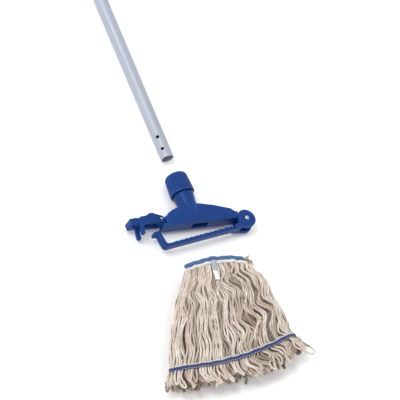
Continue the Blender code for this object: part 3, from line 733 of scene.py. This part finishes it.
def head_band(tape, piping):
    """White tape folded over the yarns' fold, with the blue piping along its front edge."""
    steps = 160
    share = np.linspace(-0.004, 1.004, steps)
    top = mop_points(np.zeros(steps), share)
    high = TOP_YARNS_Z + YARN_R + HEAD_OVER
    low = HEAD_LOW
    wobble = 0.0007 * np.sin(share * 19) + 0.0005 * np.sin(share * 43 + 1)
    outside = [(SKIRT, high), (-0.001, high + 0.0006), (FOLD - 0.001, high - 0.0010)]
    outside += [(FOLD, high - 0.0040), (FOLD + 0.0003, MID_Z), (FOLD, low + 0.0040)]
    outside += [(FOLD - 0.001, low + 0.0010), (-0.001, low), (SKIRT, low + 0.0004)]
    inside = [(SKIRT, low + 0.0012), (-0.001, low + 0.0010), (FOLD - 0.0016, low + 0.0040)]
    inside += [(FOLD - 0.0014, MID_Z), (FOLD - 0.0016, high - 0.0046)]
    inside += [(-0.001, high - 0.0006), (SKIRT, high - 0.0008)]
    profile = outside + inside
    section = np.zeros((steps, len(profile), 3))
    for k, (y, z) in enumerate(profile):
        sunk = max(0.0, (high - z) / (high - low))
        section[:, k, 0] = top[:, 0] + HEAD_INSET * sunk * np.clip(1 - share, 0, 1) ** 2
        section[:, k, 1] = top[:, 1] + y + wobble * (1.0 if y < 0 else 0.5)
        section[:, k, 2] = z + (0.0006 * np.sin(share * 60) if z > MID_Z else 0)
    along = length_along(top)
    kept = share < TAPE_ENDS
    section = section[kept]
    along = along[kept]
    piece = strip("head_tape", section, along, tape, "mop_head", ["head_band"])
    y = top[:, 1] + FOLD + PIPING_IN + wobble
    z = high - PIPING_IN + 0.0006 * np.sin(share * 31)
    path = np.column_stack([top[:, 0], y, z])[share < PIPING_ENDS]
    along = length_along(path)
    rings, _ = tube_rings(path, PIPING_R, 14)
    strip("head_cord_piping", rings, along, piping, "mop_head", ["head_piping"])


def frayed_end(material):
    """Loose cut yarn that stands out of the right end of the head band."""
    soft = Soft()
    random = np.random.default_rng(FRAY_SEED)
    root = mop_points([0.0], [0.93])[0]
    for _ in range(FRAY_YARNS):
        start_x = root[0] + random.uniform(-0.008, 0.009)
        start_y = root[1] + random.uniform(-0.004, 0.006)
        start_z = random.uniform(0.034, 0.048)
        heading = math.radians(random.uniform(-70, 30))
        reach = random.uniform(0.006, 0.014)
        share = np.linspace(0, 1, 7)
        bend = random.uniform(-0.5, 0.5)
        x = start_x + reach * share * np.cos(heading + bend * share)
        y = start_y + reach * share * np.sin(heading + bend * share)
        z = start_z + random.uniform(-0.002, 0.003) * share
        radius = FRAY_R * (1 - 0.55 * share)
        tone_and_shade = random.uniform(0.05, 0.42)
        soft.add(np.column_stack([x, y, z]), radius, 6, tone_and_shade, lobes=2, depth=0.2, pitch=0.006)
    add_piece("frayed_end", soft.mesh("frayed_end"), material, "mop_head")


def care_label(material):
    """Blank woven label sewn into the head band, curving over the yarns."""
    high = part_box("care_label")[1]
    steps = 30
    share = np.linspace(0, 1, steps)
    x = high.x - LABEL_WIDTH - 0.0035 - 0.0080 * share - 0.0010 * np.sin(share * 5)
    y = high.y - 0.0005 - LABEL_LENGTH * share
    z = LABEL_Z + 0.0014 * np.sin(share * 3.4) + 0.0010 * np.sin(share * 7.5 + 1)
    # Share of the width, and height out of the middle in thicknesses.
    profile = [(0, 1), (0.33, 1.2), (0.67, 1.2), (1, 1), (1, -1), (0.67, -0.8), (0.33, -0.8), (0, -1)]
    section = np.zeros((steps, len(profile), 3))
    for k, (right, height) in enumerate(profile):
        section[:, k, 0] = x + right * LABEL_WIDTH
        section[:, k, 1] = y - right * 0.0012
        section[:, k, 2] = z + height * LABEL_THICK + 0.0006 * math.sin(right * math.pi)
    along = length_along(section[:, 0])
    piece = strip("blank_label", section, along, material, "mop_head", ["care_label"])


# Plastic and metal --------------------------------------------------------------------------


def softened(node, name, material, body, voxel=0.0008, rounds=5):
    """The CAD node's shape with the rounded edges of a moulding."""
    source = nodes[node].data.copy()
    rough = bpy.data.objects.new(name + "_rough", source)
    bpy.context.scene.collection.objects.link(rough)
    weld = rough.modifiers.new("weld", "WELD")
    weld.merge_threshold = WELD
    remesh = rough.modifiers.new("remesh", "REMESH")
    remesh.mode = "VOXEL"
    remesh.voxel_size = voxel
    relax = rough.modifiers.new("relax", "SMOOTH")
    relax.factor = 0.5
    relax.iterations = rounds
    graph = bpy.context.evaluated_depsgraph_get()
    mesh = bpy.data.meshes.new_from_object(rough.evaluated_get(graph))
    bpy.data.objects.remove(rough, do_unlink=True)
    bpy.data.meshes.remove(source)
    mesh.name = name
    return add_piece(name, mesh, material, body, [node])


def collar(material):
    """Fluted nut: rounded top, flutes that run out below it, a bead round its lower rim."""
    low = COLLAR_LOW.y
    high = COLLAR_HIGH.y
    profile = [(0.0175, low), (0.0212, low), (0.0232, low + 0.0003), (0.0238, low + 0.0012)]
    profile += [(0.0239, low + 0.0028), (0.0237, low + 0.0040), (0.0236, low + 0.0048)]
    for share in np.linspace(0.04, 1, 14):
        profile.append((0.0236 - 0.0016 * share, low + 0.0048 + 0.0270 * share))
    for turn in np.linspace(0.12, math.pi / 2, 10):
        profile.append((0.0148 + 0.0072 * math.cos(turn), high - 0.0085 + 0.0085 * math.sin(turn)))
    profile += [(0.0140, high - 0.0001), (0.0136, high - 0.0012), (0.0136, high - 0.0042)]
    profile += [(0.0152, high - 0.0044), (0.0173, high - 0.0150)]
    angle = np.arange(COLLAR_SIDES) * 2 * math.pi / COLLAR_SIDES
    wave = np.clip(np.cos(FLUTES * angle), -0.35, 1) + 0.35
    wave = wave / wave.max()
    section = np.zeros((len(profile), COLLAR_SIDES, 3))
    for k, (radius, y) in enumerate(profile):
        starts = float(ease(y, low + 0.0045, low + 0.0085))
        ends = float(ease(y, high - 0.0100, high - 0.0025))
        cut = FLUTE_DEPTH * starts * (1 - ends) if radius > 0.0180 else 0
        reach = radius - cut * wave
        section[k, :, 0] = reach * np.sin(angle)
        section[k, :, 2] = MID_Z + reach * np.cos(angle)
        section[k, :, 1] = y
    mesh = grid_mesh("fluted_collar", section, closed_u=True, closed_v=True)
    shape = bmesh.new()
    shape.from_mesh(mesh)
    bmesh.ops.recalc_face_normals(shape, faces=shape.faces)
    shape.to_mesh(mesh)
    shape.free()
    return add_piece("fluted_collar", mesh, material, "collar", ["lock_collar"])


def finish_nodes(materials):
    """The CAD pieces whose shapes are already right get their finish."""
    for name, key in (
        ("handle_tube", "aluminium"),
        ("handle_grip", "grey_plastic"),
        ("grip_ring", "grey_plastic"),
        ("hinge_rivet", "steel"),
        ("hinge_washer", "steel"),
        ("latch_pin", "steel"),
    ):
        mesh = nodes[name].data
        mesh.materials.clear()
        mesh.materials.append(materials[key])


def add_floor(material):
    edge = (-FLOOR_SIZE, FLOOR_SIZE)
    corners = np.array([[(x, y, 0.0) for x in edge] for y in edge])
    floor = bpy.data.objects.new("floor", grid_mesh("floor", corners))
    bpy.context.scene.collection.objects.link(floor)
    floor.data.materials.append(material)


add_camera()
add_light()
materials = {
    "blue_plastic": blue_plastic(),
    "aluminium": aluminium(),
    "steel": steel(),
    "grey_plastic": grey_plastic(),
    "yarn": cotton_yarn(),
    "thread": thread(),
    "white_tape": woven("white_tape", srgb(206, 206, 204), srgb(246, 246, 244)),
    "navy_tape": woven("navy_tape", srgb(20, 32, 78), srgb(48, 68, 128)),
    "label": satin_label(),
    "piping": woven("piping", srgb(34, 72, 124), srgb(84, 124, 174), 2600.0, 12.0),
}
strings(materials["yarn"])
band_line = tail_band("front", materials["navy_tape"])
tail_band("back", materials["navy_tape"])
tail_stitches(*band_line, materials["thread"])
head_band(materials["white_tape"], materials["piping"])
frayed_end(materials["yarn"])
care_label(materials["label"])
softened("holder_body", "holder_moulding", materials["blue_plastic"], "holder")
softened("clamp_jaw", "jaw_moulding", materials["blue_plastic"], "jaw", 0.0007, 4)
softened("latch_lever", "latch_moulding", materials["blue_plastic"], "latch", 0.0006, 4)
softened("hang_cap", "cap_moulding", materials["grey_plastic"], "handle", 0.0006, 3)
collar(materials["blue_plastic"])
finish_nodes(materials)
add_floor(floor_finish())
